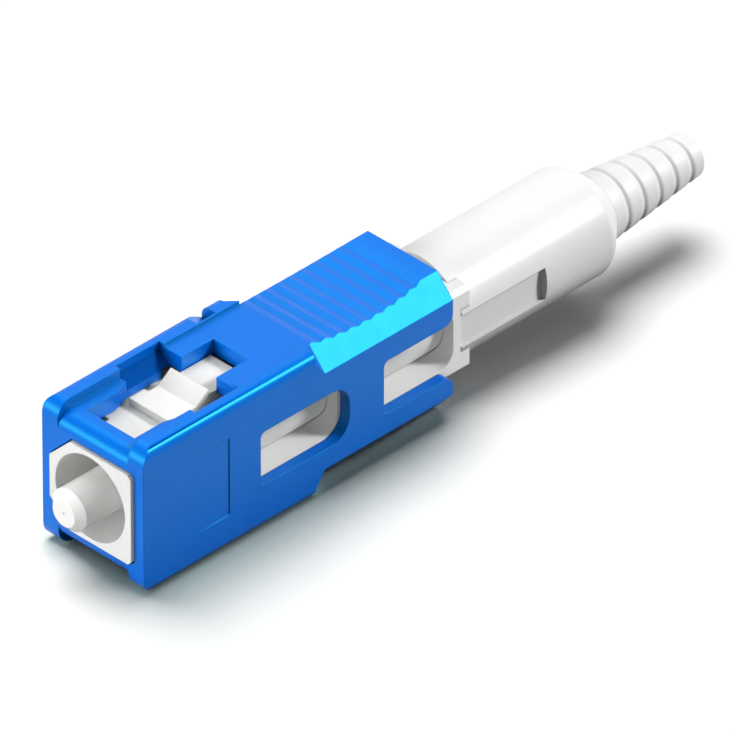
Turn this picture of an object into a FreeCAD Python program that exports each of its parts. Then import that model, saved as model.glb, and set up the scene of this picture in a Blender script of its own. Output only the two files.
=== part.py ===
"""SC fibre connector: a push-pull plug with a sprung ceramic ferrule.

Millimetres. The origin is the centre of the ferrule's end face. +Y runs back along the connector's
axis to the boot, +X is the plug's right side and +Z is up.
In its body each piece is drawn about the Y axis with Y = 0 at the outer housing's front face. The
bodies are placed so that the ferrule's end face comes to the origin.
"""
import FreeCAD
import Part
import Sketcher
import math
import os

SIZES = {
    # outer housing, front part
    "housing_width": 7.4,
    "housing_height": 9.0,
    "housing_length": 22.45,
    "long_edge_round": 0.6,
    "nose_round": 1.05,
    "lip_round": 0.9,
    # channel along the top and the bottom, and the latch window in its floor
    "channel_half_width": 2.55,
    "channel_depth": 0.6,
    "channel_end": 7.65,
    "plateau_depth": 0.2,
    "window_front": 1.3,
    "window_flare_start": 3.35,
    "window_flare_end": 4.5,
    "window_narrow_half": 1.75,
    "window_floor_half": 2.1,
    "window_wide_half": 2.9,
    "bevel_top_depth": 0.5,
    "bevel_bottom_depth": 1.15,
    "tongue_slot_half": 1.27,
    "tongue_slot_end": 9.95,
    # how far a cut runs past the face that it opens
    "overrun": 1.0,
    # cavity of the housing
    "frame_clearance": 0.06,
    "middle_cavity_start": 7.0,
    "rear_cavity_start": 10.5,
    "middle_cavity_half_height": 3.3,
    # side slots of the housing
    "slot_half_height": 1.68,
    "slot_drop": 0.12,
    "front_slot_start": 8.45,
    "front_slot_end": 14.9,
    "front_slot_round": 1.3,
    "rear_slot_start": 17.4,
    "slot_corner_round": 0.35,
    "slot_mouth_round": 0.6,
    # grip of the housing
    "grip_start": 13.1,
    "grip_half_width": 3.84,
    "grip_half_height": 4.3,
    "grip_chamfer_across": 1.31,
    "grip_chamfer_down": 1.3,
    "run_out_start": 12.1,
    "saddle_margin": 0.25,
    "saddle_rear_land": 1.25,
    "saddle_depth": 0.27,
    "rib_count": 9,
    "rib_height": 0.1,
    # notch in the left edge, in front of the grip
    "edge_notch_start": 10.1,
    "edge_notch_end": 11.5,
    "edge_notch_depth": 0.8,
    "edge_notch_width": 1.05,
    # key on the left side
    "key_start": 1.4,
    "key_length": 8.4,
    "key_half_width": 1.2,
    "key_height": 0.85,
    # finger relief on the right side
    "relief_start": 3.2,
    "relief_end": 6.2,
    "relief_half_height": 2.4,
    "relief_depth": 0.12,
    "nose_cavity_end": 0.6,
    # plug frame
    "frame_front": -0.2,
    "frame_half_width": 2.975,
    "frame_half_height": 2.8,
    "frame_corner_cut": 1.5,
    "frame_small_cut": 0.25,
    "frame_tall_cut": 0.9,
    "frame_tall_half_height": 3.5,
    "housing_travel": 2.0,
    "frame_end": 24.4,
    "frame_roof_end": 22.4,
    "frame_arm_half_height": 2.6,
    "front_bore_radius": 2.55,
    "front_bore_end": 6.0,
    "web_thickness": 0.6,
    "web_bore_radius": 1.45,
    "frame_window_half_height": 1.8,
    "frame_window_start": 8.25,
    "frame_window_end": 14.7,
    "frame_rear_window_start": 17.0,
    "frame_rear_window_end": 23.2,
    "frame_window_round": 1.0,
    # latch lug of the plug frame
    "ear_start": 4.25,
    "ear_end": 5.35,
    "ear_half_width": 1.65,
    "ear_height": 0.45,
    "neck_half_width": 1.38,
    "ramp_start": 6.05,
    "ramp_end": 7.0,
    "ramp_height": 1.13,
    "tongue_half_width": 1.2,
    "tongue_end": 9.7,
    "tongue_height": 0.66,
    # ferrule unit
    "ferrule_radius": 1.25,
    "ferrule_tip": -2.1,
    "ferrule_length": 10.5,
    "ferrule_free_end": 5.0,
    "ferrule_seat_radius": 1.05,
    "ferrule_tip_chamfer": 0.45,
    "capillary_radius": 0.063,
    "ferrule_cone_radius": 0.5,
    "ferrule_cone_length": 1.0,
    "flange_radius": 2.1,
    "flange_thickness": 1.25,
    "flange_body_radius": 1.65,
    "flange_body_length": 1.05,
    "flange_tail_radius": 1.1,
    "flange_tail_length": 3.3,
    "notch_half_width": 0.45,
    "notch_depth": 0.4,
    "key_side_gap": 0.05,
    "tube_outer_radius": 0.75,
    "tube_inner_radius": 0.5,
    "tube_seat_depth": 2.6,
    "tube_end": 29.5,
    "ferrule_travel": 1.5,
    # spring
    "wire_radius": 0.26,
    "spring_radius": 1.5,
    "spring_turns": 6,
    # stop ring
    "ring_radius": 2.2,
    "ring_bore_clearance": 0.04,
    "chamber_radius": 1.85,
    "chamber_end": 14.6,
    "ring_bore_radius": 0.85,
    "ring_shoulder": 25.4,
    "post_radius": 1.6,
    "post_end": 30.2,
    "knurl_pitch": 0.55,
    "knurl_depth": 0.1,
    "snap_start": 15.4,
    "snap_length": 1.2,
    "snap_half_width": 0.95,
    "snap_reach": 0.75,
    "snap_clearance": 0.05,
    # crimp ring
    "crimp_wall": 0.4,
    "crimp_gap": 0.12,
    "crimp_length": 4.4,
    # rear sleeve
    "sleeve_radius": 3.2,
    "sleeve_front": 23.8,
    "sleeve_shoulder_start": 35.0,
    "sleeve_shoulder_round": 0.7,
    "sleeve_end": 36.3,
    "sleeve_fit": 0.03,
    "sleeve_chamber_end": 33.0,
    "sleeve_neck_radius": 1.55,
    "pocket_end": 29.9,
    "pocket_half_height": 1.0,
    "pocket_depth": 0.4,
    # boot
    "boot_head_length": 2.0,
    "boot_seat_gap": 0.02,
    "boot_base_radius": 2.05,
    "boot_tip_radius": 1.28,
    "boot_end": 43.7,
    "boot_bore_radius": 0.55,
    "boot_ring_count": 6,
    "boot_groove_depth": 0.45,
    "boot_groove_length": 0.45,
}


class Size:
    """A length together with the spreadsheet expression that gives it."""

    def __init__(self, value, text):
        self.value = float(value)
        self.text = text

    @staticmethod
    def of(number):
        if isinstance(number, Size):
            return number
        return Size(number, "(%.6f)" % number)

    def __add__(self, other):
        other = Size.of(other)
        return Size(self.value + other.value, "(%s + %s)" % (self.text, other.text))

    def __sub__(self, other):
        other = Size.of(other)
        return Size(self.value - other.value, "(%s - %s)" % (self.text, other.text))

    def __mul__(self, other):
        other = Size.of(other)
        return Size(self.value * other.value, "(%s * %s)" % (self.text, other.text))

    def __truediv__(self, other):
        other = Size.of(other)
        return Size(self.value / other.value, "(%s / %s)" % (self.text, other.text))

    def __neg__(self):
        return Size(-self.value, "(0 - %s)" % self.text)

    def __radd__(self, other):
        return Size.of(other) + self

    def __rsub__(self, other):
        return Size.of(other) - self

    def __rmul__(self, other):
        return Size.of(other) * self


class Dimensions:
    """The spreadsheet of driving dimensions, read as attributes that carry their expressions."""

    def __init__(self, doc):
        self.sheet = doc.addObject("Spreadsheet::Sheet", "Dimensions")
        for row, (alias, value) in enumerate(SIZES.items(), start=1):
            self.sheet.set("A%d" % row, alias.replace("_", " "))
            self.sheet.set("B%d" % row, str(value))
            self.sheet.setAlias("B%d" % row, alias)
            setattr(self, alias, Size(value, "Dimensions.%s" % alias))
        doc.recompute()


doc = FreeCAD.newDocument("sc_fibre_connector")
dim = Dimensions(doc)

# ---------------------------------------------------------------- helpers for bodies and sketches

def new_body(name):
    """A body placed so that the ferrule's end face comes to the origin."""
    body = doc.addObject("PartDesign::Body", name)
    body.Label = name
    body.setExpression("Placement.Base.y", (-dim.ferrule_tip).text)
    return body


def plane(body, role):
    for feature in body.Origin.OriginFeatures:
        if feature.Role == role:
            return feature
    raise ValueError(role)


def new_sketch(body, name, role, offset=None):
    """A sketch on one of the body's origin planes, moved along the plane's normal by offset."""
    sketch = body.newObject("Sketcher::SketchObject", name)
    sketch.AttachmentSupport = (plane(body, role), "")
    sketch.MapMode = "FlatFace"
    if offset is not None:
        sketch.AttachmentOffset = FreeCAD.Placement(FreeCAD.Vector(0, 0, offset.value), FreeCAD.Rotation())
        sketch.setExpression("AttachmentOffset.Base.z", offset.text)
    return sketch


def bind_point(sketch, geometry, end, point, name):
    """Hold one end of a line, or the centre of a circle, at a place given by two sizes."""
    for kind, size, letter in (("DistanceX", point[0], "x"), ("DistanceY", point[1], "y")):
        if abs(size.value) < 1e-9:
            other = -2 if letter == "x" else -1
            sketch.addConstraint(Sketcher.Constraint("PointOnObject", geometry, end, other))
            continue
        index = sketch.addConstraint(Sketcher.Constraint(kind, -1, 1, geometry, end, size.value))
        sketch.renameConstraint(index, name + letter)
        sketch.setExpression("Constraints." + name + letter, size.text)


def add_outline(sketch, points, prefix="p"):
    """A closed outline of straight lines through the given points."""
    places = [(Size.of(a), Size.of(b)) for a, b in points]
    first = sketch.GeometryCount
    count = len(places)
    for number, (a, b) in enumerate(places):
        c, d = places[(number + 1) % count]
        start = FreeCAD.Vector(a.value, b.value, 0)
        sketch.addGeometry(Part.LineSegment(start, FreeCAD.Vector(c.value, d.value, 0)), False)
    for number in range(count):
        following = first + (number + 1) % count
        sketch.addConstraint(Sketcher.Constraint("Coincident", first + number, 2, following, 1))
    for number, place in enumerate(places):
        bind_point(sketch, first + number, 1, place, "%s%d" % (prefix, number))


def add_rectangle(sketch, left, right, low, high, prefix="p"):
    add_outline(sketch, [(left, low), (right, low), (right, high), (left, high)], prefix)


def add_round_corner(sketch, height, radius):
    """What a cut takes off to round the edge at (0, height): a corner less a quarter circle."""
    low, past = height - radius, height + dim.overrun
    start = sketch.GeometryCount
    points = [(radius, height), (radius, past), (-dim.overrun, past), (-dim.overrun, low), (Size.of(0), low)]
    for (a, b), (c, d) in zip(points, points[1:]):
        line = Part.LineSegment(FreeCAD.Vector(a.value, b.value, 0), FreeCAD.Vector(c.value, d.value, 0))
        sketch.addGeometry(line, False)
    centre = FreeCAD.Vector(radius.value, low.value, 0)
    circle = Part.Circle(centre, FreeCAD.Vector(0, 0, 1), radius.value)
    arc = sketch.addGeometry(Part.ArcOfCircle(circle, math.pi / 2, math.pi), False)
    last = len(points) - 2
    for number in range(last):
        sketch.addConstraint(Sketcher.Constraint("Coincident", start + number, 2, start + number + 1, 1))
    sketch.addConstraint(Sketcher.Constraint("Coincident", arc, 1, start, 1))
    sketch.addConstraint(Sketcher.Constraint("Coincident", arc, 2, start + last, 2))
    for number in range(len(points) - 1):
        bind_point(sketch, start + number, 1, points[number], "p%d" % number)
    bind_point(sketch, start + last, 2, points[-1], "q")
    index = sketch.addConstraint(Sketcher.Constraint("Radius", arc, radius.value))
    sketch.renameConstraint(index, "edge_radius")
    sketch.setExpression("Constraints.edge_radius", radius.text)


def add_circle(sketch, radius, prefix="c"):
    """A circle about the sketch's origin."""
    radius = Size.of(radius)
    centre = FreeCAD.Vector(0, 0, 0)
    number = sketch.addGeometry(Part.Circle(centre, FreeCAD.Vector(0, 0, 1), radius.value), False)
    sketch.addConstraint(Sketcher.Constraint("Coincident", number, 3, -1, 1))
    index = sketch.addConstraint(Sketcher.Constraint("Radius", number, radius.value))
    sketch.renameConstraint(index, prefix + "radius")
    sketch.setExpression("Constraints." + prefix + "radius", radius.text)


def extrude(body, kind, sketch, name, length, reverse=False, midplane=False):
    """A pad or a pocket of a sketch."""
    feature = body.newObject("PartDesign::" + kind, name)
    feature.Profile = sketch
    length = Size.of(length)
    feature.Length = length.value
    feature.setExpression("Length", length.text)
    feature.Reversed = reverse
    feature.Midplane = midplane
    doc.recompute()
    return feature


def along(body, kind, name, start, end, draw):
    """Extrude what draw() puts in a sketch of the XZ plane from Y = start to Y = end."""
    start, end = Size.of(start), Size.of(end)
    sketch = new_sketch(body, name + "_sketch", "XZ_Plane", -start)
    draw(sketch)
    # the XZ plane's normal is -Y: a pad has to be reversed to run towards +Y, a pocket has not
    return extrude(body, kind, sketch, name, end - start, reverse=(kind == "Pad"))


def across(body, kind, name, half_width, draw):
    """Extrude what draw() puts in a sketch of the YZ plane, half_width to each side in X."""
    sketch = new_sketch(body, name + "_sketch", "YZ_Plane")
    draw(sketch)
    return extrude(body, kind, sketch, name, half_width * 2, midplane=True)


def upright(body, kind, name, low, high, draw):
    """Extrude what draw() puts in a sketch of the XY plane from Z = low to Z = high."""
    low, high = Size.of(low), Size.of(high)
    start = low if kind == "Pad" else high
    sketch = new_sketch(body, name + "_sketch", "XY_Plane", start)
    draw(sketch)
    return extrude(body, kind, sketch, name, high - low)


def turned(body, kind, name, profile):
    """Revolve an outline of (radius, Y) points about the body's Y axis."""
    sketch = new_sketch(body, name + "_sketch", "XY_Plane")
    add_outline(sketch, profile)
    feature = body.newObject("PartDesign::" + kind, name)
    feature.Profile = sketch
    feature.ReferenceAxis = (sketch, ["V_Axis"])
    feature.Angle = 360
    doc.recompute()
    return feature


def mirrored(body, name, features):
    """Copy features of the upper half to the lower half."""
    mirror = body.newObject("PartDesign::Mirrored", name)
    mirror.Originals = features
    mirror.MirrorPlane = (plane(body, "XY_Plane"), [""])
    body.Tip = mirror
    doc.recompute()
    return mirror


def repeated(body, name, features, pitch, count):
    """Repeat features along Y."""
    pattern = body.newObject("PartDesign::LinearPattern", name)
    pattern.Originals = features
    pattern.Direction = (plane(body, "Y_Axis"), [""])
    length = pitch * (count - 1)
    pattern.Length = length.value
    pattern.setExpression("Length", length.text)
    pattern.Occurrences = int(count.value)
    pattern.setExpression("Occurrences", count.text)
    body.Tip = pattern
    doc.recompute()
    return pattern


def edges_where(feature, test):
    """Names of the feature's edges whose two ends both pass the test."""
    names = []
    for number, edge in enumerate(feature.Shape.Edges, start=1):
        ends = [vertex.Point for vertex in edge.Vertexes]
        if len(ends) == 2 and all(test(point) for point in ends) and test(edge.CenterOfMass):
            names.append("Edge%d" % number)
    return names


def rounded(body, name, test, radius):
    """Fillet the edges of the body's last feature that pass the test."""
    base = body.Tip
    names = edges_where(base, test)
    if not names:
        raise ValueError("no edge for " + name)
    fillet = body.newObject("PartDesign::Fillet", name)
    fillet.Base = (base, names)
    fillet.Radius = radius.value
    fillet.setExpression("Radius", radius.text)
    doc.recompute()
    return fillet


def near(a, b):
    return abs(a - b) < 1e-4


def whole(size):
    """The whole number below a size."""
    return Size(math.floor(size.value), "floor(%s)" % size.text)


# ------------------------------------------------------------------------------- outer housing

def chamfered_box(half_width, half_height, cut_across, cut_down):
    """Outline of a section with its four corners cut off."""
    w, t = half_width, half_height
    return [(w - cut_across, -t), (w, cut_down - t), (w, t - cut_down), (w - cut_across, t),
            (cut_across - w, t), (-w, t - cut_down), (-w, cut_down - t), (cut_across - w, -t)]


def frame_outline(half_height, left_cut, right_cut, clearance):
    """Section of the plug frame with its corners cut off, grown all round by a clearance."""
    w = dim.frame_half_width + clearance
    t = half_height + clearance
    a, b = left_cut, right_cut
    return [(w - b, -t), (w, b - t), (w, t - b), (w - b, t),
            (a - w, t), (-w, t - a), (-w, a - t), (a - w, -t)]


def outer_housing():
    body = new_body("outer_housing")
    half_width = dim.housing_width / 2
    half_height = dim.housing_height / 2

    def front_section(sketch):
        add_rectangle(sketch, -half_width, half_width, -half_height, half_height)

    along(body, "Pad", "front_block", 0, dim.grip_start, front_section)

    def long_edge(point):
        return near(abs(point.x), half_width.value) and near(abs(point.z), half_height.value)

    rounded(body, "long_edges", long_edge, dim.long_edge_round)

    nose = across(body, "Pocket", "nose", half_width + dim.overrun,
                  lambda sketch: add_round_corner(sketch, half_height, dim.nose_round))
    mirrored(body, "lower_nose", [nose])

    def grip_section(sketch):
        add_outline(sketch, chamfered_box(dim.grip_half_width, dim.grip_half_height,
                                          dim.grip_chamfer_across, dim.grip_chamfer_down))

    along(body, "Pad", "grip_block", dim.grip_start, dim.housing_length, grip_section)

    saddle(body)
    run_outs(body)
    edge_notch(body)
    latch_windows(body)
    cavity(body)
    side_slots(body)

    key_reach = half_width + dim.key_height

    def key_outline(sketch):
        add_rectangle(sketch, -key_reach, dim.long_edge_round - half_width,
                      dim.key_start, dim.key_start + dim.key_length)

    upright(body, "Pad", "key", -dim.key_half_width, dim.key_half_width, key_outline)

    def relief_outline(sketch):
        outside = half_width + dim.relief_depth
        add_outline(sketch, [(half_width, dim.relief_start), (outside, dim.relief_start),
                             (outside, dim.relief_end), (half_width - dim.relief_depth, dim.relief_end)])

    upright(body, "Pocket", "finger_relief", -dim.relief_half_height, dim.relief_half_height,
            relief_outline)
    return body


def saddle(body):
    """A shallow hollow with transverse ribs in the top and the bottom of the grip."""
    top = dim.grip_half_height
    start = dim.grip_start + dim.saddle_margin
    end = dim.housing_length - dim.saddle_rear_land
    middle, half_length = (start + end) / 2, (end - start) / 2

    def hollow(y):
        share = (y - middle) / half_length
        return top - dim.saddle_depth * (1 - share * share)

    def outline(sketch):
        pitch = (end - start) / dim.rib_count
        points = [(start, top)]
        for number in range(int(dim.rib_count.value)):
            valley = start + pitch * (number + 0.5)
            points.append((valley, hollow(valley) - dim.rib_height))
            if number + 1 < dim.rib_count.value:
                crest = start + pitch * (number + 1)
                points.append((crest, hollow(crest)))
        points.append((end, top))
        outside = top + dim.overrun
        add_outline(sketch, points + [(end, outside), (start, outside)])

    hollow_cut = across(body, "Pocket", "saddle", dim.grip_half_width + dim.overrun, outline)
    mirrored(body, "lower_saddle", [hollow_cut])


def run_outs(body):
    """The grip's chamfers run out into the front part's corners at 45 degrees in plan."""
    half_width = dim.housing_width / 2
    inner = dim.grip_half_width - dim.grip_chamfer_across
    outer = half_width + dim.overrun
    rise = (dim.grip_start - dim.run_out_start) / (half_width - inner)
    floor = dim.grip_half_height - dim.grip_chamfer_down

    def triangles(sketch):
        for sign, prefix in ((1, "r"), (-1, "l")):
            add_outline(sketch, [(outer * sign, dim.run_out_start - rise * dim.overrun),
                                 (outer * sign, dim.grip_start), (inner * sign, dim.grip_start)], prefix)

    cut = upright(body, "Pocket", "run_outs", floor, dim.housing_height / 2 + dim.overrun, triangles)
    mirrored(body, "lower_run_outs", [cut])


def edge_notch(body):
    """A ramped notch in the left edge, top and bottom."""
    half_width, half_height = dim.housing_width / 2, dim.housing_height / 2
    floor = half_height - dim.edge_notch_depth
    outside = half_height + dim.overrun
    slope = dim.edge_notch_depth / (dim.edge_notch_end - dim.edge_notch_start)
    left, right = -half_width - dim.overrun, dim.edge_notch_width - half_width

    sketch = new_sketch(body, "edge_notch_sketch", "YZ_Plane", right)
    add_outline(sketch, [(dim.edge_notch_start - dim.overrun / slope, outside),
                         (dim.edge_notch_start, half_height),
                         (dim.edge_notch_end, floor), (dim.edge_notch_end, outside)])
    cut = extrude(body, "Pocket", sketch, "edge_notch", right - left)
    mirrored(body, "lower_edge_notch", [cut])


def latch_windows(body):
    """Channel, plateau and latch window on the top, and the same on the bottom."""
    half_height = dim.housing_height / 2
    outside = half_height + dim.overrun
    floor = half_height - dim.channel_depth
    inside = dim.frame_half_height

    def channel_outline(sketch):
        add_rectangle(sketch, -dim.channel_half_width, dim.channel_half_width, -dim.overrun,
                      dim.channel_end)

    channel = upright(body, "Pocket", "channel", floor, outside, channel_outline)

    lip = across(body, "Pocket", "lip", dim.channel_half_width,
                 lambda sketch: add_round_corner(sketch, floor, dim.lip_round))

    def plateau_outline(sketch):
        add_rectangle(sketch, -dim.channel_half_width, dim.channel_half_width,
                      dim.channel_end - dim.channel_depth, dim.grip_start)

    plateau = upright(body, "Pocket", "plateau", half_height - dim.plateau_depth, outside,
                      plateau_outline)

    def window_outline(sketch):
        narrow, wide, slot = dim.window_narrow_half, dim.window_floor_half, dim.tongue_slot_half
        right = [(narrow, dim.window_front), (narrow, dim.window_flare_start),
                 (wide, dim.window_flare_end), (wide, dim.channel_end),
                 (slot, dim.channel_end), (slot, dim.tongue_slot_end)]
        left = [(-x, y) for x, y in reversed(right)]
        add_outline(sketch, right + left)

    window = upright(body, "Pocket", "window", inside, outside, window_outline)

    def bevel_section(sketch):
        narrow, wide = dim.window_floor_half, dim.window_wide_half
        low, high = half_height - dim.bevel_bottom_depth, half_height - dim.bevel_top_depth
        add_outline(sketch, [(-narrow, low), (narrow, low), (wide, high), (wide, outside),
                             (-wide, outside), (-wide, high)])

    bevel = along(body, "Pocket", "cam_bevel", dim.window_flare_end, dim.channel_end, bevel_section)
    mirrored(body, "lower_windows", [channel, lip, plateau, window, bevel])


def cavity(body):
    """The stepped hole that the plug frame slides in."""
    small, tall = dim.frame_small_cut, dim.frame_tall_cut
    steps = [("nose_cavity", -dim.overrun, dim.nose_cavity_end, dim.frame_half_height,
              dim.frame_corner_cut, small),
             ("front_cavity", dim.nose_cavity_end, dim.middle_cavity_start, dim.frame_half_height,
              small, small),
             ("middle_cavity", dim.middle_cavity_start, dim.rear_cavity_start,
              dim.middle_cavity_half_height, small, small),
             ("rear_cavity", dim.rear_cavity_start, dim.housing_length + dim.overrun,
              dim.frame_tall_half_height, tall, tall)]
    for name, start, end, half_height, left, right in steps:
        def section(sketch, outline=frame_outline(half_height, left, right, dim.frame_clearance)):
            add_outline(sketch, outline)

        along(body, "Pocket", name, start, end, section)


def side_slots(body):
    """A closed slot and an open one through each side wall."""
    half_width = dim.grip_half_width + dim.overrun
    high = dim.slot_half_height - dim.slot_drop
    low = -dim.slot_half_height - dim.slot_drop

    def front_slot(sketch):
        add_rectangle(sketch, dim.front_slot_start, dim.front_slot_end, low, high)

    across(body, "Pocket", "front_slot", half_width, front_slot)

    def rear_slot(sketch):
        add_rectangle(sketch, dim.rear_slot_start, dim.housing_length + dim.overrun, low, high)

    across(body, "Pocket", "rear_slot", half_width, rear_slot)

    def corner_at(y):
        def on_corner(point):
            return near(point.y, y.value) and (near(point.z, high.value) or near(point.z, low.value))
        return on_corner

    rounded(body, "front_slot_ends", corner_at(dim.front_slot_end), dim.front_slot_round)
    rounded(body, "front_slot_corners", corner_at(dim.front_slot_start), dim.slot_corner_round)
    rounded(body, "rear_slot_corners", corner_at(dim.rear_slot_start), dim.slot_corner_round)
    rounded(body, "rear_slot_mouth", corner_at(dim.housing_length), dim.slot_mouth_round)


# ---------------------------------------------------------------------------------- plug frame

def plug_frame():
    body = new_body("plug_frame")
    shoulder = dim.rear_cavity_start + dim.housing_travel + dim.frame_clearance
    nose_end = dim.nose_cavity_end + dim.housing_travel + dim.frame_clearance
    small, tall = dim.frame_small_cut, dim.frame_tall_cut
    outer = [("nose_bar", dim.frame_front, nose_end, dim.frame_half_height, dim.frame_corner_cut, small),
             ("front_bar", nose_end, shoulder, dim.frame_half_height, small, small),
             ("rear_bar", shoulder, dim.frame_roof_end, dim.frame_tall_half_height, tall, tall),
             ("arms_bar", dim.frame_roof_end, dim.frame_end, dim.frame_arm_half_height, small, small)]
    for name, start, end, half_height, left, right in outer:
        def section(sketch, outline=frame_outline(half_height, left, right, Size.of(0))):
            add_outline(sketch, outline)

        along(body, "Pad", name, start, end, section)

    latch_lugs(body)

    web_end = dim.front_bore_end + dim.web_thickness
    ring_bore = dim.ring_radius + dim.ring_bore_clearance
    sleeve_seat = dim.sleeve_radius + dim.frame_clearance
    fork = dim.frame_end - dim.sleeve_front + dim.frame_clearance
    bores = [("front_bore", dim.frame_front - dim.overrun, dim.front_bore_end, dim.front_bore_radius),
             ("web_bore", dim.front_bore_end - dim.overrun, web_end + dim.overrun, dim.web_bore_radius),
             ("ring_bore", web_end, dim.frame_end + dim.overrun, ring_bore),
             ("sleeve_bore", dim.frame_end - fork, dim.frame_end + dim.overrun, sleeve_seat)]
    for name, start, end, radius in bores:
        along(body, "Pocket", name, start, end, lambda sketch, radius=radius: add_circle(sketch, radius))

    half_width = dim.frame_half_width + dim.overrun
    window = dim.frame_window_half_height

    def side_window(sketch):
        add_rectangle(sketch, dim.frame_window_start, dim.frame_window_end, -window, window)

    across(body, "Pocket", "side_windows", half_width, side_window)

    def rear_window(sketch):
        add_rectangle(sketch, dim.frame_rear_window_start, dim.frame_rear_window_end, -window, window)

    across(body, "Pocket", "rear_windows", half_width, rear_window)

    def window_corner(end):
        return lambda point: near(point.y, end.value) and near(abs(point.z), window.value)

    rounded(body, "window_corners", window_corner(dim.frame_window_end), dim.frame_window_round)
    rounded(body, "rear_window_corners", window_corner(dim.frame_rear_window_end),
            dim.frame_window_round)

    snap_gap = dim.snap_clearance

    def snap_window(sketch):
        side = dim.snap_half_width + snap_gap
        add_rectangle(sketch, -side, side, dim.snap_start - snap_gap,
                      dim.snap_start + dim.snap_length)

    outside = dim.frame_tall_half_height + dim.overrun
    upright(body, "Pocket", "snap_windows", -outside, outside, snap_window)

    flange_keys(body, web_end)
    return body


def latch_lugs(body):
    """Ears, ramp and tongue on the top of the frame, and the same on the bottom."""
    top = dim.frame_half_height
    root = top - dim.ear_height

    def ears(sketch):
        add_rectangle(sketch, dim.ear_start, dim.ear_end, root, top + dim.ear_height)

    ear = across(body, "Pad", "ears", dim.ear_half_width, ears)

    def neck(sketch):
        add_outline(sketch, [(dim.ear_start, root), (dim.ramp_end, root),
                             (dim.ramp_end, top + dim.ramp_height),
                             (dim.ramp_start, top + dim.ear_height),
                             (dim.ear_start, top + dim.ear_height)])

    ramp = across(body, "Pad", "ramp", dim.neck_half_width, neck)

    def tongue_outline(sketch):
        add_rectangle(sketch, dim.ramp_end - dim.ear_height, dim.tongue_end, root,
                      top + dim.tongue_height)

    tongue = across(body, "Pad", "tongue", dim.tongue_half_width, tongue_outline)
    mirrored(body, "lower_lugs", [ear, ramp, tongue])


def flange_keys(body, web_end):
    """Two keys in the frame that sit in the flange's notches and stop it from turning."""
    side = dim.notch_half_width - dim.key_side_gap
    inner = dim.flange_radius - dim.notch_depth + dim.key_side_gap
    outer = dim.ring_radius + dim.ring_bore_clearance * 2
    end = web_end + dim.flange_thickness

    def upper_key(sketch):
        add_rectangle(sketch, -side, side, inner, outer)

    key = along(body, "Pad", "upper_key", web_end, end, upper_key)
    mirrored(body, "lower_key", [key])


# ------------------------------------------------------------------------------- ferrule unit

def flange_front():
    return dim.front_bore_end + dim.web_thickness


def ferrule():
    body = new_body("ferrule")
    tip, end = dim.ferrule_tip, dim.ferrule_tip + dim.ferrule_length
    radius, bore, cut = dim.ferrule_radius, dim.capillary_radius, dim.ferrule_tip_chamfer
    turned(body, "Revolution", "rod", [
        (bore, tip), (radius - cut, tip), (radius, tip + cut), (radius, dim.ferrule_free_end),
        (dim.ferrule_seat_radius, dim.ferrule_free_end), (dim.ferrule_seat_radius, end),
        (dim.ferrule_cone_radius, end), (bore, end - dim.ferrule_cone_length)])
    return body


def ferrule_flange():
    body = new_body("ferrule_flange")
    front = flange_front()
    disc_end = front + dim.flange_thickness
    body_end = disc_end + dim.flange_body_length
    tail_end = body_end + dim.flange_tail_length
    seat = dim.ferrule_tip + dim.ferrule_length
    turned(body, "Revolution", "holder", [
        (dim.ferrule_seat_radius, front), (dim.flange_radius, front), (dim.flange_radius, disc_end),
        (dim.flange_body_radius, disc_end), (dim.flange_body_radius, body_end),
        (dim.flange_tail_radius, body_end), (dim.flange_tail_radius, tail_end),
        (dim.tube_outer_radius, tail_end), (dim.tube_outer_radius, seat), (dim.ferrule_seat_radius, seat)])

    inner, outer = dim.flange_radius - dim.notch_depth, dim.flange_radius + dim.overrun

    def notch(sketch):
        side = dim.notch_half_width
        add_rectangle(sketch, -side, side, inner, outer)

    def side_notches(sketch):
        side = dim.notch_half_width
        for sign, prefix in ((1, "r"), (-1, "l")):
            add_rectangle(sketch, inner * sign, outer * sign, -side, side, prefix)

    cut_top = along(body, "Pocket", "top_notch", front - dim.overrun, disc_end + dim.overrun, notch)
    mirrored(body, "bottom_notch", [cut_top])
    along(body, "Pocket", "side_notches", front - dim.overrun, disc_end + dim.overrun, side_notches)
    return body


def tail_end():
    return (flange_front() + dim.flange_thickness + dim.flange_body_length + dim.flange_tail_length)


def guide_tube():
    body = new_body("guide_tube")
    start = tail_end() - dim.tube_seat_depth
    turned(body, "Revolution", "tube", [
        (dim.tube_inner_radius, start), (dim.tube_outer_radius, start),
        (dim.tube_outer_radius, dim.tube_end), (dim.tube_inner_radius, dim.tube_end)])
    return body


def ferrule_spring():
    """Compression spring between the flange's body and the end of the stop ring's chamber."""
    body = new_body("ferrule_spring")
    start = flange_front() + dim.flange_thickness + dim.flange_body_length
    sketch = new_sketch(body, "wire_sketch", "XY_Plane")
    centre_y = start + dim.wire_radius
    centre = FreeCAD.Vector(dim.spring_radius.value, centre_y.value, 0)
    number = sketch.addGeometry(Part.Circle(centre, FreeCAD.Vector(0, 0, 1), dim.wire_radius.value), False)
    bind_point(sketch, number, 3, (dim.spring_radius, centre_y), "centre")
    index = sketch.addConstraint(Sketcher.Constraint("Radius", number, dim.wire_radius.value))
    sketch.renameConstraint(index, "wire")
    sketch.setExpression("Constraints.wire", dim.wire_radius.text)
    coil = body.newObject("PartDesign::AdditiveHelix", "coil")
    coil.Profile = sketch
    coil.ReferenceAxis = (sketch, ["V_Axis"])
    coil.Mode = "height-turns-angle"
    height = dim.chamber_end - start - dim.wire_radius * 2
    coil.Height = height.value
    coil.setExpression("Height", height.text)
    coil.Turns = dim.spring_turns.value
    coil.setExpression("Turns", dim.spring_turns.text)
    doc.recompute()
    return body


# ------------------------------------------------------------------------------- rear pieces

def ring_front():
    """Front face of the stop ring, a ferrule travel behind the flange's disc."""
    return flange_front() + dim.flange_thickness + dim.ferrule_travel + dim.frame_clearance


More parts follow.
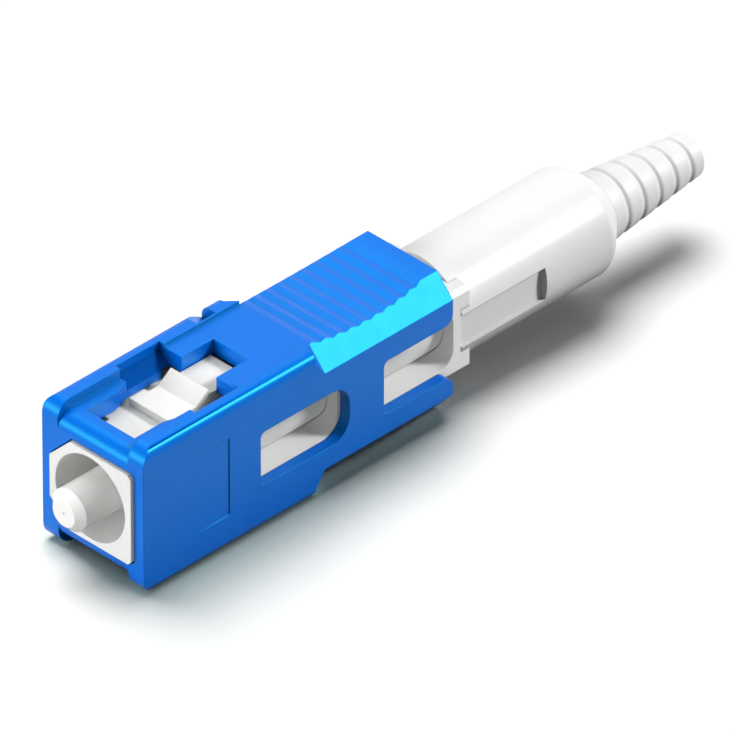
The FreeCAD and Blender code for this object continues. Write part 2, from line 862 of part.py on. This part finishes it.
def stop_ring():
    body = new_body("stop_ring")
    front = ring_front()
    turned(body, "Revolution", "ring", [
        (dim.chamber_radius, front), (dim.ring_radius, front), (dim.ring_radius, dim.ring_shoulder),
        (dim.post_radius, dim.ring_shoulder), (dim.post_radius, dim.post_end),
        (dim.ring_bore_radius, dim.post_end), (dim.ring_bore_radius, dim.chamber_end),
        (dim.chamber_radius, dim.chamber_end)])

    first = dim.ring_shoulder + dim.knurl_pitch
    groove = turned(body, "Groove", "knurl_groove", [
        (dim.post_radius - dim.knurl_depth, first), (dim.post_radius + dim.overrun, first),
        (dim.post_radius + dim.overrun, first + dim.knurl_pitch / 2),
        (dim.post_radius - dim.knurl_depth, first + dim.knurl_pitch / 2)])
    grooves = whole((dim.post_end - dim.ring_shoulder) / dim.knurl_pitch) - 1
    repeated(body, "knurl", [groove], dim.knurl_pitch, grooves)

    top = dim.ring_radius + dim.snap_reach
    root = dim.ring_radius - dim.ring_bore_clearance * 4

    def snap_outline(sketch):
        end = dim.snap_start + dim.snap_length
        for sign, prefix in ((1, "t"), (-1, "b")):
            add_outline(sketch, [(dim.snap_start, root * sign), (end, root * sign), (end, top * sign),
                                 (dim.snap_start + dim.snap_length / 2, top * sign),
                                 (dim.snap_start, (dim.ring_radius + dim.snap_clearance) * sign)],
                        prefix)

    across(body, "Pad", "snap_lugs", dim.snap_half_width, snap_outline)
    return body


def crimp_ring():
    body = new_body("crimp_ring")
    inner = dim.post_radius + dim.crimp_gap
    outer = inner + dim.crimp_wall
    start = dim.ring_shoulder
    turned(body, "Revolution", "ring", [
        (inner, start), (outer, start), (outer, start + dim.crimp_length),
        (inner, start + dim.crimp_length)])
    return body


def rear_sleeve():
    body = new_body("rear_sleeve")
    bore = dim.ring_radius + dim.sleeve_fit
    turned(body, "Revolution", "barrel", [
        (bore, dim.sleeve_front), (dim.sleeve_radius, dim.sleeve_front),
        (dim.sleeve_radius, dim.sleeve_shoulder_start), (dim.boot_base_radius, dim.sleeve_end),
        (dim.sleeve_neck_radius, dim.sleeve_end),
        (dim.sleeve_neck_radius, dim.sleeve_chamber_end), (bore, dim.sleeve_chamber_end)])

    def shoulder_edge(point):
        radius = math.hypot(point.x, point.z)
        return near(point.y, dim.sleeve_shoulder_start.value) and near(radius, dim.sleeve_radius.value)

    base = body.Tip
    names = ["Edge%d" % (n + 1) for n, e in enumerate(base.Shape.Edges)
             if all(shoulder_edge(v.Point) for v in e.Vertexes)
             and near(e.Length, 2 * math.pi * dim.sleeve_radius.value)]
    fillet = body.newObject("PartDesign::Fillet", "shoulder")
    fillet.Base = (base, names)
    fillet.Radius = dim.sleeve_shoulder_round.value
    fillet.setExpression("Radius", dim.sleeve_shoulder_round.text)
    doc.recompute()

    floor = dim.sleeve_radius - dim.pocket_depth

    def pocket_plan(sketch):
        for sign, prefix in ((1, "r"), (-1, "l")):
            near_x, far_x = floor * sign, (dim.sleeve_radius + dim.overrun) * sign
            add_rectangle(sketch, near_x, far_x, dim.sleeve_front - dim.overrun, dim.pocket_end, prefix)

    upright(body, "Pocket", "side_pockets", -dim.pocket_half_height, dim.pocket_half_height,
            pocket_plan)
    return body


def boot():
    body = new_body("boot")
    gap = dim.boot_seat_gap
    head = dim.ring_radius - gap
    neck = dim.sleeve_neck_radius - gap
    bore = dim.boot_bore_radius
    head_start = dim.sleeve_chamber_end - dim.boot_head_length
    turned(body, "Revolution", "core", [
        (bore, head_start), (head, head_start), (head, dim.sleeve_chamber_end),
        (neck, dim.sleeve_chamber_end), (neck, dim.sleeve_end), (dim.boot_base_radius, dim.sleeve_end),
        (dim.boot_tip_radius, dim.boot_end), (bore, dim.boot_end)])
    pitch = (dim.boot_end - dim.sleeve_end) / (dim.boot_ring_count + 0.5)
    first = dim.sleeve_end + pitch
    slope = (dim.boot_base_radius - dim.boot_tip_radius) / (dim.boot_end - dim.sleeve_end)
    for number in range(int(dim.boot_ring_count.value)):
        place = first + pitch * number
        surface = dim.boot_base_radius - slope * (place - dim.sleeve_end)
        floor = surface - dim.boot_groove_depth
        end = place + dim.boot_groove_length
        turned(body, "Groove", "ring_groove_%d" % (number + 1), [
            (floor, place), (surface + dim.overrun, place), (surface + dim.overrun, end), (floor, end)])
    return body


pieces = [outer_housing(), plug_frame(), ferrule(), ferrule_flange(), guide_tube(), ferrule_spring(),
          stop_ring(), crimp_ring(), rear_sleeve(), boot()]
doc.recompute()

for item in doc.Objects:
    if "Invalid" in item.State or "Error" in item.State:
        raise RuntimeError("%s failed: %s" % (item.Name, item.State))
for piece in pieces:
    if piece.Shape.isNull() or not piece.Shape.isValid():
        raise RuntimeError("%s has no valid shape" % piece.Label)
    if len(piece.Shape.Solids) != 1:
        raise RuntimeError("%s has %d solids" % (piece.Label, len(piece.Shape.Solids)))

os.makedirs("parts", exist_ok=True)
for piece in pieces:
    piece.Shape.exportStep("parts/%s.step" % piece.Label)
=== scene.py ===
"""Looks of the SC fibre connector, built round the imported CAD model.

Metres, in the part's own frame: the origin is the centre of the ferrule's end face, +Y runs back to
the boot, +X is the plug's right side and +Z is up.
"""

import math

import bmesh
import bpy
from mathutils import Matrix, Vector


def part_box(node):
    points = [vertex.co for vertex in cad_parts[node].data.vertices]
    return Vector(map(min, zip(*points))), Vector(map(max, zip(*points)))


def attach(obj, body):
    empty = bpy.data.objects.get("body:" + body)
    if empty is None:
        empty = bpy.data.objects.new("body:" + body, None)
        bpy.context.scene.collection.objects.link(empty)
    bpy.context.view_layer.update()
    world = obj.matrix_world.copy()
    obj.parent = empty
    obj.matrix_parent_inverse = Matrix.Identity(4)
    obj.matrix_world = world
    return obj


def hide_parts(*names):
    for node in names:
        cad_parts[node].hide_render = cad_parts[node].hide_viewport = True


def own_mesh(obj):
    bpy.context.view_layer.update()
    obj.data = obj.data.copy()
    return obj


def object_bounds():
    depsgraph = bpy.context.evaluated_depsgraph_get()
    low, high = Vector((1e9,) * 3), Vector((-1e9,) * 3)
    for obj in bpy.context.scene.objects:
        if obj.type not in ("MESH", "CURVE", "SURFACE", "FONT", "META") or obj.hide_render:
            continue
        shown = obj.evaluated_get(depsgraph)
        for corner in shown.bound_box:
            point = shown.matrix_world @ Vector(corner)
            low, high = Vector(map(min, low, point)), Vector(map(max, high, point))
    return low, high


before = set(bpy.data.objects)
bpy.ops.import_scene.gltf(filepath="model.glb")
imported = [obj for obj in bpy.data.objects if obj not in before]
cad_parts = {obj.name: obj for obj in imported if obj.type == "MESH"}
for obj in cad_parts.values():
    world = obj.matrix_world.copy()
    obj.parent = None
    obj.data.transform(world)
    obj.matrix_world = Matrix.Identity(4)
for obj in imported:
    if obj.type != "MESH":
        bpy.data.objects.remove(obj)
cad_low, cad_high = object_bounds()
MM = 0.001

# -------------------------------------------------------------------------------------- shader nodes


def new_material(name):
    material = bpy.data.materials.new(name)
    material.use_nodes = True
    material.node_tree.nodes.clear()
    return material, material.node_tree.nodes, material.node_tree.links


def add_node(nodes, kind, inputs=None, **settings):
    """A shader node with its settings and the values of its inputs."""
    node = nodes.new("ShaderNode" + kind)
    for name, value in settings.items():
        setattr(node, name, value)
    for name, value in (inputs or {}).items():
        node.inputs[name].default_value = value
    return node


def camera_ray_factor(nodes, links):
    """1 for rays that show the background: from the camera, in gloss and through glass."""
    path = add_node(nodes, "LightPath")
    first = add_node(nodes, "Math", operation="MAXIMUM")
    links.new(path.outputs["Is Camera Ray"], first.inputs[0])
    links.new(path.outputs["Is Glossy Ray"], first.inputs[1])
    second = add_node(nodes, "Math", operation="MAXIMUM")
    links.new(first.outputs[0], second.inputs[0])
    links.new(path.outputs["Is Transmission Ray"], second.inputs[1])
    return second.outputs[0]


def show_or_light(nodes, links, lighting, shown, output):
    """One shader for rays that light the object, another for rays that show the background."""
    mix = add_node(nodes, "MixShader")
    links.new(camera_ray_factor(nodes, links), mix.inputs[0])
    links.new(lighting.outputs[0], mix.inputs[1])
    links.new(shown.outputs[0], mix.inputs[2])
    links.new(mix.outputs[0], output.inputs["Surface"])


# ---------------------------------------------------------------------------------- camera and floor

VIEW_DIRECTION = Vector((1, -1, 1)).normalized()
VIEW_TARGET = Vector((1.89, 20.14, 0.0)) * MM
VIEW_WIDTH = 38.04 * MM
# a long lens, for a view that is close to parallel
LENS = 1000.0
SENSOR = 36.0
CLIP_START = 0.01
CLIP_END = 10.0

FLOOR_SIZE = 3.0
FLOOR_SHOWN = 3.0
FLOOR_BOUNCE = 0.4


def make_camera():
    data = bpy.data.cameras.new("camera")
    data.type = "PERSP"
    data.lens = LENS
    data.sensor_width = SENSOR
    data.clip_start = CLIP_START
    data.clip_end = CLIP_END
    camera = bpy.data.objects.new("camera", data)
    camera.location = VIEW_TARGET + VIEW_DIRECTION * (VIEW_WIDTH * LENS / SENSOR)
    camera.rotation_mode = "QUATERNION"
    camera.rotation_quaternion = VIEW_DIRECTION.to_track_quat("Z", "Y")
    bpy.context.scene.collection.objects.link(camera)
    bpy.context.scene.camera = camera


def make_floor():
    """A white floor that keeps the shadow and sends little light back to the object."""
    mesh = bpy.data.meshes.new("floor")
    half = FLOOR_SIZE / 2
    level = cad_low.z
    corners = [(-half, -half, level), (half, -half, level), (half, half, level), (-half, half, level)]
    mesh.from_pydata(corners, [], [(0, 1, 2, 3)])
    floor = bpy.data.objects.new("floor", mesh)
    bpy.context.scene.collection.objects.link(floor)
    material, nodes, links = new_material("floor_white")
    output = add_node(nodes, "OutputMaterial")
    shown = add_node(nodes, "BsdfDiffuse", {"Color": (FLOOR_SHOWN, FLOOR_SHOWN, FLOOR_SHOWN, 1)})
    bounce = add_node(nodes, "BsdfDiffuse", {"Color": (FLOOR_BOUNCE, FLOOR_BOUNCE, FLOOR_BOUNCE, 1)})
    show_or_light(nodes, links, bounce, shown, output)
    mesh.materials.append(material)


# --------------------------------------------------------------------------------------------- light

AMBIENT = 0.02
BACKGROUND = 1.0
# each lamp: where it comes from, its strength and its width in degrees
KEY = (Vector((-0.31, 0.14, 0.94)), 1.1, 46.0)
FILLS = {
    "rim": (Vector((1.0, 1.0, 1.0)), 2.5, 12.0),
    "front": (Vector((-0.38, -0.90, 0.18)), 3.2, 40.0),
    "dome": (Vector((-0.2, -0.3, 0.93)), 0.25, 160.0),
}
# fills for the white pieces that sit deep in the housing, each with the nodes it lights
INNER_FILLS = {
    "frame_fill": (("plug_frame", "stop_ring"), (Vector((0.8, -0.45, 0.05)), 0.6, 30.0)),
    "ferrule_fill": (("ferrule",), (Vector((0.6, -0.6, 0.5)), 0.75, 30.0)),
}


def make_sun(name, lamp_facts):
    towards, strength, angle = lamp_facts
    data = bpy.data.lights.new(name, "SUN")
    data.energy = strength
    data.angle = math.radians(angle)
    lamp = bpy.data.objects.new(name, data)
    lamp.rotation_mode = "QUATERNION"
    lamp.rotation_quaternion = towards.normalized().to_track_quat("Z", "Y")
    bpy.context.scene.collection.objects.link(lamp)
    return lamp


def make_world():
    world = bpy.data.worlds.new("world")
    bpy.context.scene.world = world
    world.use_nodes = True
    nodes, links = world.node_tree.nodes, world.node_tree.links
    nodes.clear()
    output = add_node(nodes, "OutputWorld")
    room = add_node(nodes, "Background", {"Color": (1, 1, 1, 1), "Strength": AMBIENT})
    shown = add_node(nodes, "Background", {"Color": (1, 1, 1, 1), "Strength": BACKGROUND})
    show_or_light(nodes, links, room, shown, output)


def make_light():
    """One key light makes the floor's shadow; the fills are kept off the floor."""
    make_world()
    make_sun("key", KEY)
    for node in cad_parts.values():
        lit_by_fills.objects.link(node)
    for name, lamp_facts in FILLS.items():
        make_sun(name, lamp_facts).light_linking.receiver_collection = lit_by_fills
    for name, (lit_nodes, lamp_facts) in INNER_FILLS.items():
        lit_inside = bpy.data.collections.new("lit_by_" + name)
        for node in lit_nodes:
            lit_inside.objects.link(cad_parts[node])
        make_sun(name, lamp_facts).light_linking.receiver_collection = lit_inside


# ----------------------------------------------------------------------------------------- materials

# where nearly all values of a noise texture lie
NOISE_RANGE = (0.3, 0.7)
# slow drift of colour
DRIFT_SCALE = 0.35 / MM
DRIFT_DETAIL = 3.0
# patches of polish
POLISH_SCALE = 1.1 / MM
POLISH_DETAIL = 4.0
POLISH_DRIFT = 0.008
# spark-eroded grain
GRAIN_SIZE = 0.06 * MM
GRAIN_DETAIL = 2.0
GRAIN_DEPTH = 0.25 * GRAIN_SIZE
# painted shade darkening the creases, and softened edges
PAINTED_SHADE_REACH = 1.2 * MM
PAINTED_SHADE_RANGE = (0.25, 0.9)
EDGE_ROUND = 0.06 * MM
NEAR_SAMPLES = 6
# light that goes into white plastic and ceramic
SUBSURFACE_RADIUS = (1.0, 0.9, 0.8)
SUBSURFACE_SCALE = 0.4 * MM
# what outer skins show to diffuse rays, so that the floor keeps a neutral shadow
DULL_BLUE = (0.05, 0.06, 0.08)
DULL_WHITE = (0.35, 0.35, 0.35)

# fine marks round the axis of turned and drawn metal
MARKS_SCALE = (0.4 / MM, 14.0 / MM, 0.4 / MM)
MARKS_DETAIL = 3.0
MARKS_BUMP = 0.2
MARKS_DEPTH = 0.01 * MM
METAL_POLISH = (-0.08, 0.12)


def moulded(name, light, dark, roughness, bump=0.12, tint=None, level=0.5, subsurface=0.0,
            painted_shade_level=0.6, painted_shade_alone=True, bounce=None):
    """Moulded plastic: slow colour drift, a fine spark-eroded grain, patches of polish and painted shade
    in the creases.

    level and tint set the gloss, the shade level how far the creases are darkened with painted shade,
    and bounce the colour that diffuse rays find instead of the material's own.
    """
    material, nodes, links = new_material(name)
    output = add_node(nodes, "OutputMaterial")
    shader = add_node(nodes, "BsdfPrincipled")
    links.new(shader.outputs[0], output.inputs["Surface"])
    place = add_node(nodes, "TexCoord").outputs["Object"]

    drift = add_node(nodes, "TexNoise", {"Scale": DRIFT_SCALE, "Detail": DRIFT_DETAIL})
    links.new(place, drift.inputs["Vector"])
    shade = add_node(nodes, "ValToRGB")
    for stop, position, colour in zip(shade.color_ramp.elements, NOISE_RANGE, (dark, light)):
        stop.position = position
        stop.color = (*colour, 1)
    links.new(drift.outputs["Fac"], shade.inputs["Fac"])
    # painted shade: ambient occlusion darkens the base colour in creases and hollows, where shade falls
    crease = add_node(nodes, "AmbientOcclusion", {"Distance": PAINTED_SHADE_REACH},
                      samples=NEAR_SAMPLES, only_local=painted_shade_alone)
    depth = add_node(nodes, "MapRange", {
        "From Min": PAINTED_SHADE_RANGE[0], "From Max": PAINTED_SHADE_RANGE[1], "To Min": painted_shade_level, "To Max": 1.0})
    links.new(crease.outputs["AO"], depth.inputs["Value"])
    # the base colour with the painted shade multiplied in
    painted_shade_colour = add_node(nodes, "VectorMath", operation="SCALE")
    links.new(shade.outputs["Color"], painted_shade_colour.inputs[0])
    links.new(depth.outputs["Result"], painted_shade_colour.inputs["Scale"])
    colour = painted_shade_colour.outputs["Vector"]
    if bounce:
        path = add_node(nodes, "LightPath")
        mixer = add_node(nodes, "Mix", data_type="RGBA")
        mixer.inputs["B"].default_value = (*bounce, 1)
        links.new(path.outputs["Is Diffuse Ray"], mixer.inputs["Factor"])
        links.new(colour, mixer.inputs["A"])
        colour = mixer.outputs["Result"]
    links.new(colour, shader.inputs["Base Color"])

    polish = add_node(nodes, "TexNoise", {"Scale": POLISH_SCALE, "Detail": POLISH_DETAIL})
    links.new(place, polish.inputs["Vector"])
    spread = add_node(nodes, "MapRange", {
        "From Min": NOISE_RANGE[0], "From Max": NOISE_RANGE[1],
        "To Min": roughness - POLISH_DRIFT, "To Max": roughness + POLISH_DRIFT})
    links.new(polish.outputs["Fac"], spread.inputs["Value"])
    links.new(spread.outputs["Result"], shader.inputs["Roughness"])

    grain = add_node(nodes, "TexNoise", {"Scale": 1.0 / GRAIN_SIZE, "Detail": GRAIN_DETAIL})
    links.new(place, grain.inputs["Vector"])
    relief = add_node(nodes, "Bump", {"Strength": bump, "Distance": GRAIN_DEPTH})
    links.new(grain.outputs["Fac"], relief.inputs["Height"])
    soft_edge = add_node(nodes, "Bevel", {"Radius": EDGE_ROUND}, samples=NEAR_SAMPLES)
    links.new(soft_edge.outputs["Normal"], relief.inputs["Normal"])
    links.new(relief.outputs["Normal"], shader.inputs["Normal"])

    shader.inputs["Specular IOR Level"].default_value = level
    if tint:
        shader.inputs["Specular Tint"].default_value = (*tint, 1)
    if subsurface:
        shader.inputs["Subsurface Weight"].default_value = subsurface
        shader.inputs["Subsurface Radius"].default_value = SUBSURFACE_RADIUS
        shader.inputs["Subsurface Scale"].default_value = SUBSURFACE_SCALE
    return material


def metal(name, colour, roughness):
    """Turned or drawn metal with fine marks round its axis."""
    material, nodes, links = new_material(name)
    output = add_node(nodes, "OutputMaterial")
    shader = add_node(nodes, "BsdfPrincipled", {"Base Color": (*colour, 1), "Metallic": 1.0})
    links.new(shader.outputs[0], output.inputs["Surface"])
    place = add_node(nodes, "TexCoord")
    stretch = add_node(nodes, "Mapping", {"Scale": MARKS_SCALE})
    links.new(place.outputs["Object"], stretch.inputs["Vector"])
    marks = add_node(nodes, "TexNoise", {"Scale": 1.0, "Detail": MARKS_DETAIL})
    links.new(stretch.outputs["Vector"], marks.inputs["Vector"])
    spread = add_node(nodes, "MapRange", {
        "To Min": roughness + METAL_POLISH[0], "To Max": roughness + METAL_POLISH[1]})
    links.new(marks.outputs["Fac"], spread.inputs["Value"])
    links.new(spread.outputs["Result"], shader.inputs["Roughness"])
    relief = add_node(nodes, "Bump", {"Strength": MARKS_BUMP, "Distance": MARKS_DEPTH})
    links.new(marks.outputs["Fac"], relief.inputs["Height"])
    links.new(relief.outputs["Normal"], shader.inputs["Normal"])
    return material


def dress(node, material):
    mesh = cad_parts[node].data
    mesh.materials.clear()
    mesh.materials.append(material)


def dress_nodes():
    """Materials for the CAD nodes that show as they are."""
    dress("plug_frame", moulded(
        "frame_white", (0.92, 0.92, 0.91), (0.89, 0.89, 0.88), 0.36, subsurface=0.15,
        painted_shade_level=0.85, painted_shade_alone=False))
    dress("rear_sleeve", moulded(
        "sleeve_white", (0.92, 0.92, 0.915), (0.89, 0.89, 0.885), 0.32, painted_shade_level=0.8,
        bounce=DULL_WHITE))
    dress("stop_ring", moulded("ring_white", (0.84, 0.84, 0.83), (0.79, 0.79, 0.78), 0.4))
    dress("guide_tube", moulded("tube_ptfe", (0.90, 0.90, 0.88), (0.85, 0.85, 0.83), 0.45))
    dress("ferrule", moulded(
        "zirconia", (0.94, 0.935, 0.92), (0.92, 0.915, 0.895), 0.14, bump=0.03, subsurface=0.25,
        painted_shade_level=0.95))
    dress("ferrule_flange", metal("flange_metal", (0.72, 0.72, 0.73), 0.3))
    dress("crimp_ring", metal("crimp_metal", (0.74, 0.74, 0.75), 0.3))


# -------------------------------------------------------------------------------------------- pieces


def add_piece(name, mesh, node, body):
    """A visible piece that stands for one CAD node and rides on its body."""
    piece = bpy.data.objects.new(name, mesh)
    bpy.context.scene.collection.objects.link(piece)
    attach(piece, body)
    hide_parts(node)
    lit_by_fills.objects.link(piece)
    return piece


def smooth_by_angle(mesh, degrees):
    for face in mesh.polygons:
        face.use_smooth = True
    mesh.set_sharp_from_angle(angle=math.radians(degrees))


# ------------------------------------------------------------------------------------------- housing

SIDE_HALF_WIDTH = 3.7 * MM
NOTCH_REAR = 14.5 * MM
# the grip and its chamfers, as (across, up) at the chamfer's top and foot
GRIP_START = 15.2 * MM
GRIP_END = 24.6 * MM
CHAMFER_TOP = (2.53 * MM, 4.3 * MM)
CHAMFER_FOOT = (SIDE_HALF_WIDTH, 3.0 * MM)
CHAMFER_FALL = (CHAMFER_TOP[1] - CHAMFER_FOOT[1]) / (CHAMFER_FOOT[0] - CHAMFER_TOP[0])
CHAMFER_TOLERANCE = 0.02 * MM
# the pit that the CAD's run-out leaves in front of each chamfer, and the cavity wall it cuts
RUN_OUT_START = 14.1 * MM
RUN_OUT_INNER = 2.5 * MM
PIT_END = 15.25 * MM
PIT_FLOOR = (2.9 * MM, 3.3 * MM)
CAVITY_SUM = 5.7 * MM
CAVITY_TOLERANCE = 0.03 * MM
CAVITY_FACE_ALONG = 0.05
CAVITY_FACE_INWARD = 0.1
# where the front block's rounded corner ends
CORNER_INNER = 3.0 * MM
CORNER_FOOT = 3.8 * MM
CORNER_END = 14.6 * MM
# the finger relief, kept to a share of its depth in the CAD
RELIEF_START = 5.0 * MM
RELIEF_END = 8.5 * MM
RELIEF_HALF_HEIGHT = 2.5 * MM
RELIEF_FLOOR = 3.55 * MM
RELIEF_SHARE = 0.45
# the latch window's cam bevels: where they are and how their faces lean
CAM_START = 6.6 * MM
CAM_END = 9.8 * MM
CAM_LEAN = (0.4, 0.95)
CAM_LEAN_ALONG = 0.1

WELD = 0.001 * MM
HOUSING_SMOOTH = 22.5


def on_cam_bevel(face):
    """The sloped walls inside the latch windows, which get a matt blue that is darker as painted shade.
    """
    middle = face.calc_center_median()
    in_window = CAM_START <= middle.y <= CAM_END and abs(middle.x) < SIDE_HALF_WIDTH
    return (in_window and CAM_LEAN[0] < abs(face.normal.x) < CAM_LEAN[1]
            and abs(face.normal.y) < CAM_LEAN_ALONG)


def is_pit_corner(vertex):
    """Where a pit in front of a grip chamfer cuts the sloped wall of the cavity inside."""
    across, along, up = abs(vertex.co.x), vertex.co.y, abs(vertex.co.z)
    return (RUN_OUT_START < along < PIT_END and PIT_FLOOR[0] < up < PIT_FLOOR[1]
            and abs(across + up - CAVITY_SUM) < CAVITY_TOLERANCE)


def is_on_cavity(vertex):
    """True if one of the vertex's faces looks in towards the plug's axis."""
    side = math.copysign(1.0, vertex.co.x)
    return any(abs(face.normal.y) < CAVITY_FACE_ALONG and face.normal.x * side < -CAVITY_FACE_INWARD
               for face in vertex.link_faces)


def open_chamfers(form):
    """Take each pit off the cavity and bring it up to the chamfer, which then starts square."""
    corners = [vertex for vertex in form.verts if is_pit_corner(vertex)]
    rims = [edge for edge in form.edges if all(vertex in corners for vertex in edge.verts)]
    bmesh.ops.split_edges(form, edges=rims)
    for vertex in form.verts:
        if is_pit_corner(vertex) and not is_on_cavity(vertex):
            height = CHAMFER_TOP[1] - CHAMFER_FALL * (abs(vertex.co.x) - CHAMFER_TOP[0])
            vertex.co.z = math.copysign(height, vertex.co.z)
    open_edges = [edge for edge in form.edges if edge.is_boundary]
    bmesh.ops.holes_fill(form, edges=open_edges, sides=3)


def settle(point):
    """Grip sides flush with the front block, flat chamfers with a short run-out, a faint relief."""
    if point.y > NOTCH_REAR:
        point.x = max(-SIDE_HALF_WIDTH, min(SIDE_HALF_WIDTH, point.x))
    across, up = abs(point.x), abs(point.z)
    if RUN_OUT_START < point.y < GRIP_START and across > RUN_OUT_INNER and up > PIT_FLOOR[0]:
        on_corner = across > CORNER_INNER and up > CORNER_FOOT
        point.y = CORNER_END if on_corner else GRIP_START
    in_relief = RELIEF_START < point.y < RELIEF_END and up < RELIEF_HALF_HEIGHT
    if in_relief and RELIEF_FLOOR < point.x < SIDE_HALF_WIDTH:
        point.x = SIDE_HALF_WIDTH - RELIEF_SHARE * (SIDE_HALF_WIDTH - point.x)
    on_chamfer = abs(across + up - CHAMFER_TOP[0] - CHAMFER_TOP[1]) < CHAMFER_TOLERANCE
    if on_chamfer and GRIP_START < point.y < GRIP_END:
        point.x = math.copysign(CHAMFER_TOP[0] + (CHAMFER_TOP[1] - up) / CHAMFER_FALL, point.x)


def make_housing():
    """The housing as it shows: grip sides flush with the front block, and cam bevels in a matt blue
    darkened as painted shade.
    """
    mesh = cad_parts["outer_housing"].data.copy()
    mesh.name = "housing_moulding"
    custom = mesh.attributes.get("custom_normal")
    if custom:
        mesh.attributes.remove(custom)
    mesh.materials.clear()
    # the materials come before the faces' indices, which clearing would reset
    mesh.materials.append(moulded(
        "housing_blue", (0.0, 0.15, 0.80), (0.0, 0.14, 0.75), 0.34, bump=0.03,
        tint=(0.0, 0.95, 1.0), level=0.68, painted_shade_level=0.72, bounce=DULL_BLUE))
    # a matt copy of the blue, darker as painted shade, for the sloped walls of the latch windows
    mesh.materials.append(moulded(
        "housing_blue_matt_painted_shade", (0.0, 0.07, 0.42), (0.0, 0.065, 0.39), 0.6, bump=0.1,
        tint=(0.0, 0.95, 1.0), level=0.12, painted_shade_level=0.72, bounce=DULL_BLUE))
    form = bmesh.new()
    form.from_mesh(mesh)
    bmesh.ops.remove_doubles(form, verts=form.verts, dist=WELD)
    form.normal_update()
    open_chamfers(form)
    for vertex in form.verts:
        settle(vertex.co)
    bmesh.ops.remove_doubles(form, verts=form.verts, dist=WELD)
    bmesh.ops.dissolve_degenerate(form, dist=WELD, edges=form.edges)
    form.normal_update()
    for face in form.faces:
        # the cam bevels take the darker blue: painted shade
        face.material_index = 1 if on_cam_bevel(face) else 0
    form.to_mesh(mesh)
    form.free()
    smooth_by_angle(mesh, HOUSING_SMOOTH)
    add_piece("housing_moulding", mesh, "outer_housing", "housing")


# ---------------------------------------------------------------------------------------------- boot

BOOT_BASE_RADIUS = 2.05 * MM
BOOT_TIP_RADIUS = 1.28 * MM
BOOT_HEAD_RADIUS = 2.18 * MM
BOOT_HEAD_LENGTH = 2.0 * MM
BOOT_NECK_RADIUS = 1.53 * MM
BOOT_BORE_RADIUS = 0.55 * MM
BOOT_TIP_ROUND = 0.18 * MM
RING_COUNT = 5
RING_DEPTH = 0.13 * MM
RING_WIDTH = 0.15 * MM
# pitches before the first ring and after the last
RING_MARGIN = 0.8
ROUND_STEPS = 96
LENGTH_STEPS = 260
BOOT_SMOOTH = 40


def boot_outline():
    """(radius, Y) down the outside of the boot, from its captive head to its tip."""
    low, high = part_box("boot")
    base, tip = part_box("rear_sleeve")[1].y, high.y
    taper = (BOOT_TIP_RADIUS - BOOT_BASE_RADIUS) / (tip - base)
    pitch = (tip - base) / (RING_COUNT - 1 + 2 * RING_MARGIN)
    grooves = [base + pitch * (number + RING_MARGIN) for number in range(RING_COUNT)]
    neck = low.y + BOOT_HEAD_LENGTH
    outline = [(BOOT_BORE_RADIUS, low.y), (BOOT_HEAD_RADIUS, low.y), (BOOT_HEAD_RADIUS, neck),
               (BOOT_NECK_RADIUS, neck), (BOOT_NECK_RADIUS, base)]
    for step in range(LENGTH_STEPS + 1):
        place = base + (tip - base) * step / LENGTH_STEPS
        radius = BOOT_BASE_RADIUS + taper * (place - base)
        for groove in grooves:
            radius -= RING_DEPTH * math.exp(-((place - groove) / RING_WIDTH) ** 2)
        past = max(0.0, place - (tip - BOOT_TIP_ROUND)) / BOOT_TIP_ROUND
        radius -= BOOT_TIP_ROUND * (1.0 - math.sqrt(1.0 - past * past))
        outline.append((radius, place))
    outline.append((BOOT_BORE_RADIUS, tip))
    return outline


def make_boot():
    """The boot turned from its outline, with a bore down its middle."""
    outline = boot_outline()
    points, faces = [], []
    for radius, place in outline:
        for step in range(ROUND_STEPS):
            turn = 2 * math.pi * step / ROUND_STEPS
            points.append((radius * math.cos(turn), place, radius * math.sin(turn)))
    rows = len(outline)
    for row in range(rows):
        following = (row + 1) % rows
        for step in range(ROUND_STEPS):
            beside = (step + 1) % ROUND_STEPS
            faces.append((row * ROUND_STEPS + step, following * ROUND_STEPS + step,
                          following * ROUND_STEPS + beside, row * ROUND_STEPS + beside))
    mesh = bpy.data.meshes.new("boot_moulding")
    mesh.from_pydata(points, [], faces)
    form = bmesh.new()
    form.from_mesh(mesh)
    bmesh.ops.recalc_face_normals(form, faces=form.faces)
    form.to_mesh(mesh)
    form.free()
    smooth_by_angle(mesh, BOOT_SMOOTH)
    mesh.materials.append(moulded("boot_white", (0.91, 0.91, 0.90), (0.87, 0.87, 0.86), 0.45,
                                  bump=0.2, painted_shade_level=0.85, bounce=DULL_WHITE))
    add_piece("boot_moulding", mesh, "boot", "plug_body")


# -------------------------------------------------------------------------------------------- spring


def make_spring():
    """The coil spring in steel, on a mesh of its own; the real spring shortens as the ferrule is pushed
    back.
    """
    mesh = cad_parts["ferrule_spring"].data.copy()
    mesh.name = "spring_coil"
    mesh.materials.clear()
    mesh.materials.append(metal("spring_steel", (0.66, 0.66, 0.67), 0.25))
    spring = add_piece("spring_coil", mesh, "ferrule_spring", "plug_body")
    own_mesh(spring)


# --------------------------------------------------------------------------------------------- build

# what the fills light: every CAD node and piece, but not the floor
lit_by_fills = bpy.data.collections.new("lit_by_fills")
bpy.context.scene.view_settings.view_transform = "Standard"
make_camera()
make_floor()
make_light()
dress_nodes()
make_housing()
make_boot()
make_spring()
